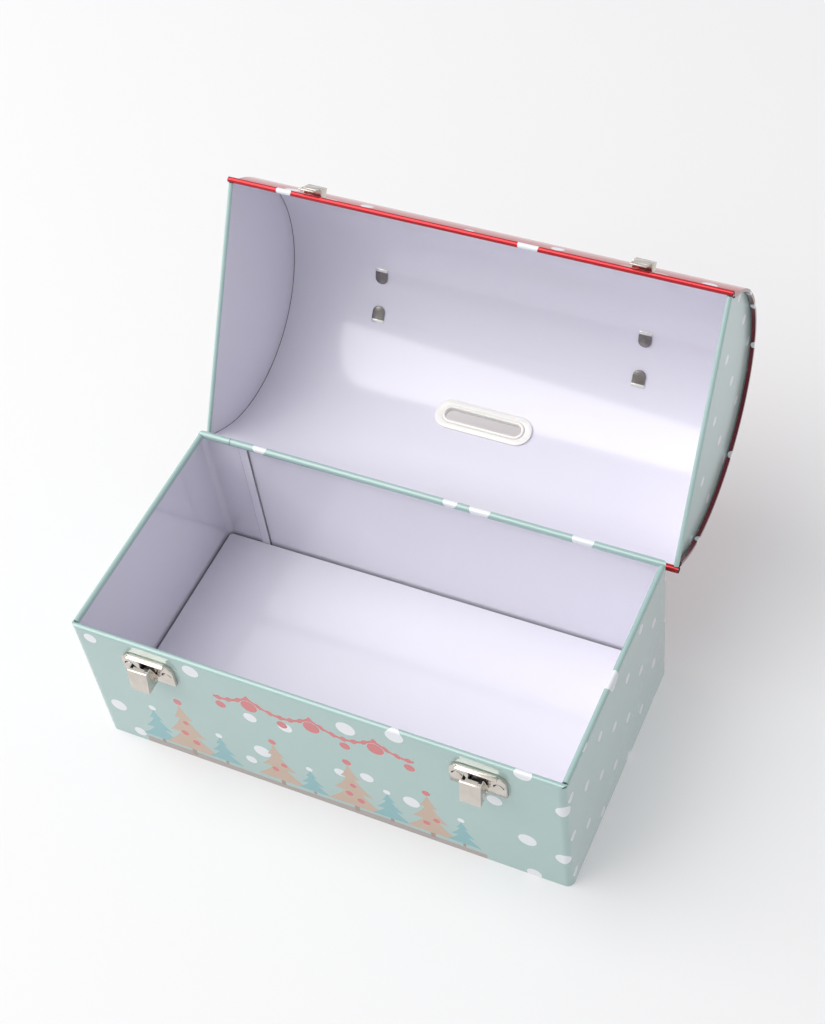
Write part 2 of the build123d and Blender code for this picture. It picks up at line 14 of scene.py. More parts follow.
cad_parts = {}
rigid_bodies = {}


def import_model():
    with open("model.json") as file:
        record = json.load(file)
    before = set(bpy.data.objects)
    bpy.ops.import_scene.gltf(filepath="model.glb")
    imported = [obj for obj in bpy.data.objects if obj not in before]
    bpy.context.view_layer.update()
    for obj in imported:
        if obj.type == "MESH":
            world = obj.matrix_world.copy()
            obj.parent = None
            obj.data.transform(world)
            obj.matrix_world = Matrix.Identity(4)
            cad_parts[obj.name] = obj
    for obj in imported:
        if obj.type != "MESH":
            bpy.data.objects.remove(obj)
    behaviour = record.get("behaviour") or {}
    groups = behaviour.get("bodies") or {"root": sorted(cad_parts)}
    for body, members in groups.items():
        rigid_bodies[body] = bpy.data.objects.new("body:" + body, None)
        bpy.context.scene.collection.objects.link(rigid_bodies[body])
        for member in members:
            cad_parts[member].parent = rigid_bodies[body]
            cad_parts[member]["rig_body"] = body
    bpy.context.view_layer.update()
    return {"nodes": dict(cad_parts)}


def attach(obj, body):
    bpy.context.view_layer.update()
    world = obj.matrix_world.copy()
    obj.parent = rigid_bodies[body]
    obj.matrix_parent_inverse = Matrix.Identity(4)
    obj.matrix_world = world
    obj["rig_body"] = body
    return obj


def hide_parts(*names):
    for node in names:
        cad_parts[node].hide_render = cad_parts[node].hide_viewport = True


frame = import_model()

# ---------------------------------------------------------------------------------------------------
# Base wall. One strip of tinplate, printed mint with white dots and a row of firs on its outer face and
# stoved with white lacquer inside, then wrapped round a former, with its top edges curled inward.
# ---------------------------------------------------------------------------------------------------
mm = 0.001
corner_middle_x = 97.0 * mm
corner_middle_y = 49.5 * mm
skin_middle = 2.8 * mm
side_start = 98.9 * mm
front_start = 51.3 * mm
curl_foot = 68.5 * mm
turned_foot = 0.25 * mm
back_curl_foot = 67.9 * mm
back_curl_front = 49.0 * mm
lock_seam_x = -81.0 * mm
lock_seam_half = 2.0 * mm
# Half widths of the painted shade lines at the lock seam's edges
seam_shade_half = 0.13 * mm
fold_shade_half = 0.07 * mm


def ink(red, green, blue):
    """An ink's colour from the 0 to 255 values of a swatch card."""
    shares = [value / 255 for value in (red, green, blue)]
    light = [share / 12.92 if share < 0.04045 else ((share + 0.055) / 1.055) ** 2.4 for share in shares]
    return (*light, 1.0)


def feed(tree, socket, value):
    """Gives an input a number or a colour, or links another node's output to it."""
    if isinstance(value, bpy.types.NodeSocket):
        tree.links.new(value, socket)
    else:
        socket.default_value = value


def lay(tree, kind, *feeds, named=None, **settings):
    """Adds a node with its settings, and feeds its inputs in their order or by their names."""
    node = tree.nodes.new(kind)
    for key, value in settings.items():
        setattr(node, key, value)
    for socket, value in zip(node.inputs, feeds):
        feed(tree, socket, value)
    for key, value in (named or {}).items():
        feed(tree, node.inputs[key], value)
    return node


def reckon(tree, operation, *values):
    """One step of arithmetic on numbers that vary over the sheet."""
    return lay(tree, "ShaderNodeMath", *values, operation=operation).outputs[0]


def cloud_noise(tree, place, scale, detail):
    """A cloudy pattern, from 0 to 1, with about as many clouds to the metre as its scale."""
    noise = lay(tree, "ShaderNodeTexNoise", named={"Vector": place, "Scale": scale, "Detail": detail})
    return noise.outputs[0]


def either(tree, *masks):
    """Where any of the masks covers."""
    covered = masks[0]
    for mask in masks[1:]:
        covered = reckon(tree, "MAXIMUM", covered, mask)
    return covered


def both(tree, *masks):
    """Where all of the masks cover."""
    covered = masks[0]
    for mask in masks[1:]:
        covered = reckon(tree, "MULTIPLY", covered, mask)
    return covered


def overprint(tree, mask, under, over):
    """One colour printed over another where the mask covers."""
    mix = lay(tree, "ShaderNodeMix", data_type="RGBA", blend_type="MIX")
    mix_factor, under_colour, over_colour = mix.inputs[0], mix.inputs[6], mix.inputs[7]
    feed(tree, mix_factor, mask)
    feed(tree, under_colour, under)
    feed(tree, over_colour, over)
    return mix.outputs[2]


def beyond(tree, value, limit):
    """Where a value lies further from 0 than the limit, on either side."""
    return reckon(tree, "GREATER_THAN", reckon(tree, "ABSOLUTE", value), limit)


def span(tree, one_way, other_way):
    """How far apart two points are, from their distances along two directions at right angles."""
    squares = reckon(tree, "ADD", reckon(tree, "MULTIPLY", one_way, one_way),
                     reckon(tree, "MULTIPLY", other_way, other_way))
    return reckon(tree, "POWER", squares, 0.5)


def start_finish(name, roughness, coat, coat_roughness=0.08, metallic=0.0):
    """A new finish, its shader with its even values, and where each point lies on the trunk."""
    finish = bpy.data.materials.new(name)
    finish.use_nodes = True
    tree = finish.node_tree
    shader = tree.nodes["Principled BSDF"]
    shader.inputs["Roughness"].default_value = roughness
    shader.inputs["Metallic"].default_value = metallic
    shader.inputs["Coat Weight"].default_value = coat
    shader.inputs["Coat Roughness"].default_value = coat_roughness
    place = lay(tree, "ShaderNodeTexCoord").outputs["Object"]
    return finish, tree, shader, place


def add_sheet_ripple(tree, shader, place, wave_depth=0.10 * mm, peel_depth=0.0012 * mm):
    """Shallow waves of thin wrapped sheet, and the fine orange peel of a stoved coat."""
    wave = cloud_noise(tree, place, scale=21.0, detail=1.0)
    peel = cloud_noise(tree, place, scale=950.0, detail=0.0)
    wave_bump = lay(tree, "ShaderNodeBump", named={"Height": wave, "Distance": wave_depth})
    peel_bump = lay(tree, "ShaderNodeBump", named={"Height": peel, "Distance": peel_depth,
                                                   "Normal": wave_bump.outputs[0]})
    tree.links.new(peel_bump.outputs[0], shader.inputs["Normal"])
    tree.links.new(peel_bump.outputs[0], shader.inputs["Coat Normal"])


def mottle(tree, place, colour, darker, scale):
    """A coat that is a little thinner in places, with the fine grain of its print."""
    cloud = cloud_noise(tree, place, scale, detail=3.0)
    grain = cloud_noise(tree, place, scale=4200.0, detail=0.0)
    thin = reckon(tree, "MULTIPLY_ADD", grain, 0.5, reckon(tree, "MULTIPLY", cloud, 0.5))
    return overprint(tree, thin, colour, darker)


def dot_rows(tree, along, up, first, column_gap, column_drop, row_gap, radius, lowest=-1.0):
    """Where polka dots in slanting columns cover, with none centred below the lowest."""
    column = reckon(tree, "DIVIDE", reckon(tree, "SUBTRACT", along, first[0]), column_gap)
    nearest = reckon(tree, "ROUND", column)
    across = reckon(tree, "MULTIPLY", reckon(tree, "SUBTRACT", column, nearest), column_gap)
    lowered = reckon(tree, "MULTIPLY_ADD", nearest, column_drop, reckon(tree, "SUBTRACT", up, first[1]))
    row = reckon(tree, "DIVIDE", lowered, row_gap)
    above = reckon(tree, "MULTIPLY", reckon(tree, "SUBTRACT", row, reckon(tree, "ROUND", row)), row_gap)
    left_out = reckon(tree, "LESS_THAN", reckon(tree, "SUBTRACT", up, above), lowest)
    from_dot = reckon(tree, "ADD", reckon(tree, "SUBTRACT", span(tree, across, above), radius), left_out)
    return reckon(tree, "LESS_THAN", from_dot, 0.0)


def stray_dots(tree, place, dots):
    """Single dots, each a place on the sheet and a radius in millimetres."""
    nearest = 1.0
    for x, y, z, radius in dots:
        centre = (x * mm, y * mm, z * mm)
        away = lay(tree, "ShaderNodeVectorMath", place, centre, operation="DISTANCE").outputs[1]
        nearest = reckon(tree, "MINIMUM", nearest, reckon(tree, "SUBTRACT", away, radius * mm))
    return reckon(tree, "LESS_THAN", nearest, 0.0)


mint = ink(165, 195, 190)
mint_deep = ink(155, 186, 182)
dot_white = ink(232, 235, 239)
lacquer_white = ink(235, 233, 243)
lacquer_grey = ink(228, 226, 238)
tan = ink(190, 160, 135)
bark = ink(150, 122, 104)
teal = ink(108, 172, 178)
berry_red = ink(205, 84, 88)
ground_grey = ink(158, 148, 142)
# Painted shade for the lock seam's edges and the crease inside the lid
painted_seam_shade = ink(122, 112, 120)
print_cloud = 60.0
lacquer_cloud = 14.0

printed_wall, tree, shader, place = start_finish("printed_wall", roughness=0.18, coat=1.0)
x, y, z = lay(tree, "ShaderNodeSeparateXYZ", place).outputs
past_x = reckon(tree, "MAXIMUM", reckon(tree, "SUBTRACT", reckon(tree, "ABSOLUTE", x), corner_middle_x), 0.0)
past_y = reckon(tree, "MAXIMUM", reckon(tree, "SUBTRACT", reckon(tree, "ABSOLUTE", y), corner_middle_y), 0.0)
outer_skin = reckon(tree, "GREATER_THAN", span(tree, past_x, past_y), skin_middle)
side_wall = both(tree, outer_skin, beyond(tree, x, side_start))
front_wall = both(tree, outer_skin, reckon(tree, "LESS_THAN", y, -front_start))
back_wall = both(tree, outer_skin, reckon(tree, "GREATER_THAN", y, front_start))
curl = either(tree, reckon(tree, "GREATER_THAN", z, curl_foot), reckon(tree, "LESS_THAN", z, turned_foot))
back_curl = both(tree, reckon(tree, "GREATER_THAN", z, back_curl_foot),
                 reckon(tree, "GREATER_THAN", y, back_curl_front))
outside = either(tree, outer_skin, curl, back_curl)

# Small dots in slanting columns on the sides and the back, larger ones strewn over the front and the curl
along_side = reckon(tree, "MULTIPLY", y, reckon(tree, "SIGN", x))
along = lay(tree, "ShaderNodeMix", side_wall, named={"A": reckon(tree, "MULTIPLY", x, -1.0), "B": along_side},
            data_type="FLOAT").outputs[0]
wall_dots = dot_rows(tree, along, z, first=(-20.0 * mm, 30.1 * mm), column_gap=14.2 * mm,
                     column_drop=14.5 * mm, row_gap=26.4 * mm, radius=2.15 * mm)
small_dots = both(tree, wall_dots, either(tree, side_wall, back_wall))

# Each large dot is a place in millimetres from the middle of the underside, and a radius
front = -52.5
large_dots = stray_dots(tree, place, (
    (-92, front, 66, 2.7), (-91, front, 21, 3.5), (-85, front, 5, 2.7), (-48.5, front, 66, 3.4),
    (-27, front, 46.5, 2.8), (-12, front, 48, 3.0), (15, front, 62, 3.9), (35, front, 68, 3.6),
    (-26, front, 23.5, 3.6), (-32.5, front, 14, 2.4), (8, front, 28, 2.5), (19.5, front, 31, 2.8),
    (37, front, 24, 3.4), (84, front, 71, 3.4), (72, front, 46.5, 3.0), (83.5, front, 25.5, 3.6),
    (98.8, front, 54, 3.3), (97.2, front, 20, 3.1), (85, front, 1.5, 3.0),
    (-72, 51, 71, 3.0), (12, 51, 71, 3.0), (24.5, 51.5, 71, 4.4), (67, 51, 71, 4.4), (98.8, -5, 71, 4.2)))
dots = either(tree, small_dots, large_dots)

# The printed picture: firs of two inks on a strip of ground, and a berry garland above them. Within a fir,
# heights are shares of its own height and widths are shares of its reach, measured from the ground it is on.
fir_tiers = 3.0
lowest_bough = 1.3
bough_shortening = -0.75
trunk_width = 0.11
trunk_middle = -0.04
trunk_half_height = 0.08
fir_stamp = bpy.data.node_groups.new("fir_stamp", "ShaderNodeTree")
for socket_name in ("Across", "Up", "Foot", "Ground", "Height", "Reach"):
    fir_stamp.interface.new_socket(socket_name, in_out="INPUT", socket_type="NodeSocketFloat")
for socket_name in ("Branches", "Trunk"):
    fir_stamp.interface.new_socket(socket_name, in_out="OUTPUT", socket_type="NodeSocketFloat")
given = fir_stamp.nodes.new("NodeGroupInput").outputs
given_back = fir_stamp.nodes.new("NodeGroupOutput").inputs
over_ground = reckon(fir_stamp, "SUBTRACT", given["Up"], given["Ground"])
share = reckon(fir_stamp, "DIVIDE", over_ground, given["Height"])
off_centre = reckon(fir_stamp, "ABSOLUTE", reckon(fir_stamp, "SUBTRACT", given["Across"], given["Foot"]))
tier = reckon(fir_stamp, "FRACT", reckon(fir_stamp, "MULTIPLY", share, fir_tiers))
spread = reckon(fir_stamp, "MULTIPLY_ADD", tier, bough_shortening, lowest_bough)
taper = reckon(fir_stamp, "SUBTRACT", 1.0, share)
bough = reckon(fir_stamp, "MULTIPLY", reckon(fir_stamp, "MULTIPLY", spread, taper), given["Reach"])
above_ground = reckon(fir_stamp, "GREATER_THAN", share, 0.0)
branches = both(fir_stamp, reckon(fir_stamp, "LESS_THAN", off_centre, bough), above_ground)
trunk_half = reckon(fir_stamp, "MULTIPLY", given["Reach"], trunk_width)
trunk = both(fir_stamp, reckon(fir_stamp, "LESS_THAN", off_centre, trunk_half),
             reckon(fir_stamp, "COMPARE", share, trunk_middle, trunk_half_height))
fir_stamp.links.new(branches, given_back["Branches"])
fir_stamp.links.new(trunk, given_back["Trunk"])

picture = overprint(tree, dots, mottle(tree, place, mint, mint_deep, print_cloud), dot_white)
ground_height = 3.6 * mm
ground_swell = 0.5 * mm
swells_per_metre = 70.0
ground_middle = -8.0 * mm
ground_half = 74.0 * mm
swell = reckon(tree, "SINE", reckon(tree, "MULTIPLY", x, swells_per_metre))
ground_top = reckon(tree, "MULTIPLY_ADD", swell, ground_swell, ground_height)
ground = both(tree, reckon(tree, "LESS_THAN", z, ground_top), front_wall,
              reckon(tree, "COMPARE", x, ground_middle, ground_half))
picture = overprint(tree, ground, picture, ground_grey)

# Each fir is the place of its foot, its height, its reach to either side, all in millimetres, and its ink
trees_ground = 5.6
for foot, height, reach, needles in (
        (-74, 22, 7.0, teal), (-60, 33, 9.5, tan), (-45, 18, 6.0, teal),
        (-20, 27, 8.5, tan), (-6, 16, 5.5, teal), (12, 31, 9.5, tan),
        (27, 19, 6.5, teal), (44, 28, 8.5, tan), (57, 17, 5.5, teal)):
    stamp = lay(tree, "ShaderNodeGroup", node_tree=fir_stamp)
    tree.links.new(x, stamp.inputs["Across"])
    tree.links.new(z, stamp.inputs["Up"])
    tree_sizes = (("Foot", foot), ("Ground", trees_ground), ("Height", height), ("Reach", reach))
    for socket_name, value in tree_sizes:
        stamp.inputs[socket_name].default_value = value * mm
    picture = overprint(tree, both(tree, stamp.outputs["Trunk"], front_wall), picture, bark)
    picture = overprint(tree, both(tree, stamp.outputs["Branches"], front_wall), picture, needles)

# The garland hangs in swags of one length, with berries on its ribbon and balls below
swag_length = 26.0 * mm
swag_curve = 24.0 * mm
swag_lowest = 54.0 * mm
ribbon_half = 0.8 * mm
garland_half = 41.3 * mm
clear_of_wall = 90.0 * mm
swag = reckon(tree, "SUBTRACT", reckon(tree, "FRACT", reckon(tree, "DIVIDE", x, swag_length)), 0.5)
sag = reckon(tree, "MULTIPLY_ADD", reckon(tree, "MULTIPLY", swag, swag), swag_curve, swag_lowest)
in_reach = both(tree, reckon(tree, "COMPARE", x, 0.0, garland_half), front_wall)
ribbon = reckon(tree, "COMPARE", z, sag, ribbon_half)
berries = dot_rows(tree, x, reckon(tree, "SUBTRACT", z, sag), first=(0.0, 0.0), column_gap=swag_length / 6,
                   column_drop=0.0, row_gap=clear_of_wall, radius=1.5 * mm)
large_balls = dot_rows(tree, x, z, first=(0.0, 54.5 * mm), column_gap=swag_length,
                       column_drop=0.0, row_gap=clear_of_wall, radius=3.4 * mm)
small_balls = dot_rows(tree, x, z, first=(swag_length / 2, 49.3 * mm), column_gap=swag_length,
                       column_drop=0.0, row_gap=clear_of_wall, radius=2.2 * mm)
garland = both(tree, either(tree, ribbon, berries, large_balls, small_balls), in_reach)
picture = overprint(tree, garland, picture, berry_red)

# Balls on the tan firs, and a cap of snow on each teal one
tree_balls = stray_dots(tree, place, (
    (-61.5, front, 17, 1.7), (-57.5, front, 12, 1.7), (-59.5, front, 25, 1.3), (-60, front, 39.5, 1.9),
    (-22, front, 13, 1.5), (-17.5, front, 18, 1.4), (-20, front, 33.5, 1.7), (10, front, 14, 1.6),
    (14.5, front, 11, 1.6), (12.5, front, 21, 1.4), (12, front, 37.5, 1.9), (42, front, 12, 1.5),
    (46.5, front, 16, 1.4), (44, front, 34.5, 1.7)))
picture = overprint(tree, both(tree, tree_balls, front_wall), picture, berry_red)
snow_caps = stray_dots(tree, place, (
    (-74, front, 28, 1.6), (-45, front, 24, 1.5), (-6, front, 22, 1.4), (27, front, 25, 1.5),
    (57, front, 23, 1.4)))
picture = overprint(tree, both(tree, snow_caps, front_wall), picture, dot_white)

# The inside is white, with painted shade: a dark line painted at each edge of the flattened lock seam, where
# its sheet edge would cast shade
lacquer = mottle(tree, place, lacquer_white, lacquer_grey, lacquer_cloud)
seam_shade_lines = either(tree, reckon(tree, "COMPARE", x, lock_seam_x + lock_seam_half, seam_shade_half),
                    reckon(tree, "COMPARE", x, lock_seam_x - lock_seam_half, fold_shade_half))
seam_shade_mask = both(tree, seam_shade_lines, reckon(tree, "GREATER_THAN", y, back_curl_front))
lacquer = overprint(tree, seam_shade_mask, lacquer, painted_seam_shade)
tree.links.new(overprint(tree, outside, lacquer, picture), shader.inputs["Base Color"])
add_sheet_ripple(tree, shader, place)


def dress(name, finish):
    """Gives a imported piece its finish."""
    frame["nodes"][name].material_slots[0].material = finish


dress("base_wall", printed_wall)

# ---------------------------------------------------------------------------------------------------
# Base bottom. A shallow pressed pan of tinplate, lacquered white above and left bare below, whose rim
# lies on the wall's turned-in foot.
# ---------------------------------------------------------------------------------------------------
floor_skin = 4.8 * mm
bare_tin = ink(176, 178, 182)

pan_finish, tree, shader, place = start_finish("pan_finish", roughness=0.18, coat=1.0)
height_up = lay(tree, "ShaderNodeSeparateXYZ", place).outputs[2]
lacquered = reckon(tree, "GREATER_THAN", height_up, floor_skin)
lacquer = mottle(tree, place, lacquer_white, lacquer_grey, lacquer_cloud)
tree.links.new(overprint(tree, lacquered, bare_tin, lacquer), shader.inputs["Base Color"])
tree.links.new(reckon(tree, "SUBTRACT", 1.0, lacquered), shader.inputs["Metallic"])
add_sheet_ripple(tree, shader, place)
dress("base_bottom", pan_finish)

# ---------------------------------------------------------------------------------------------------
# Hinges. Each is a leaf on the back wall, a leaf on the lid and a wire through their knuckles. The
# leaves are stamped from steel strip and enamelled like the sheets they are fixed to.
# ---------------------------------------------------------------------------------------------------
sides = ("left", "right")
nickel_light = (0.74, 0.69, 0.635, 1.0)
nickel_dull = (0.55, 0.505, 0.455, 1.0)
drawn_lines = (900.0, 120.0, 900.0)
drawn_unevenness = 0.14


def make_nickel(name, roughness, bright=nickel_light, dull=nickel_dull):
    """Nickel plate over stamped steel: a soft mirror with fine drawn lines and duller patches."""
    finish, tree, shader, place = start_finish(name, roughness, coat=0.0, metallic=1.0)
    cloud = cloud_noise(tree, place, scale=240.0, detail=3.0)
    tree.links.new(overprint(tree, cloud, bright, dull), shader.inputs["Base Color"])
    drawn = lay(tree, "ShaderNodeMapping", place, named={"Scale": drawn_lines}).outputs[0]
    lines = cloud_noise(tree, drawn, scale=6.0, detail=2.0)
    rubbed = reckon(tree, "MULTIPLY_ADD", lines, drawn_unevenness, roughness - drawn_unevenness / 2)
    tree.links.new(rubbed, shader.inputs["Roughness"])
    bump = lay(tree, "ShaderNodeBump", named={"Height": lines, "Distance": 0.0015 * mm})
    tree.links.new(bump.outputs[0], shader.inputs["Normal"])
    return finish


weld_distance = 0.002 * mm
flat_within = radians(1.0)
rounded_from = radians(32)
sharp_from = radians(38)


def round_edges(name, radius, finish):
    """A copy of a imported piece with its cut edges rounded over, which stands for that piece."""
    packed = frame["nodes"][name]
    shape = bmesh.new()
    shape.from_mesh(packed.data)
    bmesh.ops.remove_doubles(shape, verts=shape.verts, dist=weld_distance)
    bmesh.ops.dissolve_limit(shape, angle_limit=flat_within, verts=shape.verts, edges=shape.edges)
    sharp = bpy.data.meshes.new(name + "_sharp")
    shape.to_mesh(sharp)
    shape.free()
    piece = bpy.data.objects.new(name + "_rounded", sharp)
    bpy.context.scene.collection.objects.link(piece)
    bevel = piece.modifiers.new("rounded", "BEVEL")
    bevel.width = radius
    bevel.segments = 2
    bevel.use_clamp_overlap = False
    bevel.limit_method = "ANGLE"
    bevel.angle_limit = rounded_from
    bpy.context.view_layer.update()
    smooth = bpy.data.meshes.new_from_object(piece.evaluated_get(bpy.context.evaluated_depsgraph_get()))
    piece.modifiers.clear()
    piece.data = smooth
    for face in smooth.polygons:
        face.use_smooth = True
    smooth.set_sharp_from_angle(angle=sharp_from)
    smooth.materials.clear()
    smooth.materials.append(finish)
    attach(piece, packed["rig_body"])
    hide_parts(name)


nickel = make_nickel("bright_nickel", 0.20)

mint_leaf, tree, shader, place = start_finish("mint_leaf", roughness=0.18, coat=1.0)
tree.links.new(mottle(tree, place, mint, mint_deep, print_cloud), shader.inputs["Base Color"])
add_sheet_ripple(tree, shader, place)

red = ink(194, 30, 40)
red_deep = ink(174, 20, 31)
red_shine = 0.65
red_leaf, tree, shader, place = start_finish("red_leaf", roughness=0.18, coat=0.4, metallic=red_shine)
tree.links.new(mottle(tree, place, red, red_deep, print_cloud), shader.inputs["Base Color"])
add_sheet_ripple(tree, shader, place)

for side in sides:
    round_edges("hinge_leaf_base_" + side, 0.12 * mm, mint_leaf)
    round_edges("hinge_leaf_lid_" + side, 0.08 * mm, red_leaf)
    round_edges("hinge_pin_" + side, 0.15 * mm, nickel)

# ---------------------------------------------------------------------------------------------------
# Latches. Each is a dished plate pronged to the wall, with two ears, a pin through them, and a lever
# folded to a channel, whose nose goes into the catch. All are stamped, barrelled and nickelled.
# ---------------------------------------------------------------------------------------------------
latch_middle_x = 67.2 * mm
ear_gap_half = 3.5 * mm
ear_gap_middle_z = 61.3 * mm
ear_gap_half_height = 3.3 * mm
# Near black, painted shade for the mouth between the latch ears
mouth_painted_shade = (0.022, 0.019, 0.017, 1.0)

# Painted shade: the plate between the ears is painted near black, for the dark mouth there that lies in shade
plate_nickel = make_nickel("plate_nickel", 0.20)
tree = plate_nickel.node_tree
shader = tree.nodes["Principled BSDF"]
plated = shader.inputs["Base Color"].links[0].from_socket
x, _, z = lay(tree, "ShaderNodeSeparateXYZ", lay(tree, "ShaderNodeTexCoord").outputs["Object"]).outputs
mouth_shade_mask = both(tree, reckon(tree, "COMPARE", reckon(tree, "ABSOLUTE", x), latch_middle_x, ear_gap_half),
              reckon(tree, "COMPARE", z, ear_gap_middle_z, ear_gap_half_height))
tree.links.new(overprint(tree, mouth_shade_mask, plated, mouth_painted_shade), shader.inputs["Base Color"])
for side in sides:
    round_edges("latch_plate_" + side, 0.16 * mm, plate_nickel)
    round_edges("latch_pin_" + side, 0.18 * mm, nickel)
    round_edges("latch_lever_" + side, 0.16 * mm, nickel)

# ---------------------------------------------------------------------------------------------------
# Lid dome. One sheet printed red with white dots, lacquered white inside, bent over front, top and back,
# curled at both long edges and hemmed round the ends.
# ---------------------------------------------------------------------------------------------------
lid_turn = -121.0
lid_edge = (0.0, 84.27 * mm, 106.88 * mm)
dome_middle = 10.5 * mm
sheet_middle = 53.02 * mm
hem_start = 100.9 * mm
edge_curl_top = 1.7 * mm
print_radius = 53.15 * mm
panel_seam = 100.12 * mm
hem_turn = 102.35 * mm
# A darker red painted on the hem as painted shade
red_painted_shade = ink(108, 18, 36)


def flat_lid(tree, place):
    """Where a point is on the lid: along its length, from front to back, and up from its straight edge."""
    return lay(tree, "ShaderNodeMapping", place, vector_type="TEXTURE",
               named={"Location": lid_edge, "Rotation": (radians(lid_turn), 0.0, 0.0)}).outputs[0]


printed_dome, tree, shader, place = start_finish("printed_dome", roughness=0.16, coat=0.4)
on_lid = flat_lid(tree, place)
x, across, up = lay(tree, "ShaderNodeSeparateXYZ", on_lid).outputs
up_arch = reckon(tree, "MAXIMUM", reckon(tree, "SUBTRACT", up, dome_middle), 0.0)
within_sheet = reckon(tree, "LESS_THAN", span(tree, across, up_arch), sheet_middle)
inside = both(tree, within_sheet, reckon(tree, "LESS_THAN", reckon(tree, "ABSOLUTE", x), hem_start),
              reckon(tree, "GREATER_THAN", up, edge_curl_top))
around = reckon(tree, "MULTIPLY", reckon(tree, "ARCTAN2", across, up_arch), print_radius)
below_arch = reckon(tree, "MINIMUM", reckon(tree, "SUBTRACT", up, dome_middle), 0.0)
girth = reckon(tree, "SUBTRACT", around, reckon(tree, "MULTIPLY", below_arch, reckon(tree, "SIGN", across)))
strewn = dot_rows(tree, x, girth, first=(3.0 * mm, 0.0), column_gap=19.0 * mm, column_drop=17.0 * mm,
                  row_gap=37.0 * mm, radius=3.2 * mm, lowest=-66.0 * mm)

# Each dot near an edge is a place on the lid in millimetres, from the middle of its straight edge, and a radius
lid_front = -53.15
curl_front = -54.5
rim = 102.7
edge_dots = stray_dots(tree, on_lid, (
    (-79, lid_front, 10, 3.0), (-47, lid_front, 11.5, 2.6), (-3, lid_front, 8, 2.6), (32, lid_front, 12, 2.6),
    (91.5, lid_front, 9.5, 3.0), (24, curl_front, 1.5, 4.3), (-78, curl_front, 0.0, 3.2),
    (rim, -49, 31.3, 2.0), (rim, -41.6, 43.6, 2.2), (rim, -22.5, 58.7, 2.0), (rim, 24.1, 57.9, 2.0),
    (rim, 50.8, 26, 2.0), (-rim, -36, 49.6, 2.1), (-rim, 2, 63.6, 2.1), (-rim, 40, 45.5, 2.1)))
white_dots = either(tree, strewn, edge_dots)

# Painted shade: the red is painted darker on the hem's lip and edge, and a dark line of painted shade is
# painted inside where the end panels meet the sheet
hem_lip = both(tree, within_sheet, beyond(tree, x, hem_start))
hem_shade = either(tree, hem_lip, beyond(tree, x, hem_turn))
red_ground = overprint(tree, hem_shade, mottle(tree, place, red, red_deep, print_cloud), red_painted_shade)
red_print = overprint(tree, white_dots, red_ground, dot_white)
lacquer = mottle(tree, place, lacquer_white, lacquer_grey, lacquer_cloud)
# Painted shade in the crease where the end panels meet the dome's inside
lacquer = overprint(tree, beyond(tree, x, panel_seam), lacquer, painted_seam_shade)
tree.links.new(overprint(tree, inside, red_print, lacquer), shader.inputs["Base Color"])
not_red = either(tree, inside, white_dots)
shine = reckon(tree, "MULTIPLY", reckon(tree, "SUBTRACT", 1.0, not_red), red_shine)
tree.links.new(shine, shader.inputs["Metallic"])
add_sheet_ripple(tree, shader, place)
dress("lid_dome", printed_dome)

# ---------------------------------------------------------------------------------------------------
# Lid ends. D-shaped panels printed mint with small dots and lacquered inside, flanged into the dome's
# hem, with their straight edges curled outward.
# ---------------------------------------------------------------------------------------------------
panel_middle = 100.52 * mm
panel_curl_top = 2.0 * mm
panel_curl_side = 100.41 * mm
# A paler mint, painted light: the lid ends are painted lighter than the walls' mint for the light they catch
mint_painted_light = ink(178, 205, 201)

printed_end, tree, shader, place = start_finish("printed_end", roughness=0.34, coat=0.8, coat_roughness=0.22)
x, across, up = lay(tree, "ShaderNodeSeparateXYZ", flat_lid(tree, place)).outputs
outer_face = beyond(tree, x, panel_middle)
end_dots = dot_rows(tree, across, up, first=(0.5 * mm, 21.8 * mm), column_gap=12.2 * mm,
                    column_drop=16.2 * mm, row_gap=32.4 * mm, radius=2.05 * mm)
# The outer face's mint is painted paler than the walls', as painted light
mint_print = overprint(tree, end_dots, mottle(tree, place, mint_painted_light, mint, print_cloud), dot_white)
lacquer = mottle(tree, place, lacquer_white, lacquer_grey, lacquer_cloud)
in_curl = both(tree, reckon(tree, "LESS_THAN", up, panel_curl_top), beyond(tree, x, panel_curl_side))
tree.links.new(overprint(tree, either(tree, outer_face, in_curl), lacquer, mint_print),
               shader.inputs["Base Color"])
add_sheet_ripple(tree, shader, place)
for side in sides:
    dress("lid_end_" + side, printed_end)

# ---------------------------------------------------------------------------------------------------
# Catches. Nickelled pressings on the dome's front: two rounded ears with rivet holes, and a hollow
# block whose outer wall runs on as the tongue that the lever's nose goes through.
# ---------------------------------------------------------------------------------------------------
for side in sides:
    round_edges("catch_" + side, 0.16 * mm, nickel)

# ---------------------------------------------------------------------------------------------------
# Handle straps. Nickel strips humped over the handle's pins, whose ends go through the dome and are bent
# over inside, where they show as two tabs.
# ---------------------------------------------------------------------------------------------------
# Darker tones for the bent-over tab ends inside the lid, and a painted highlight for their folds
strap_bright = (0.34, 0.32, 0.305, 1.0)
strap_dark = (0.16, 0.152, 0.145, 1.0)
fold_painted_highlight = (0.93, 0.92, 0.90, 1.0)
strap_lean = radians(4.9)
strap_fold = 10.6 * mm

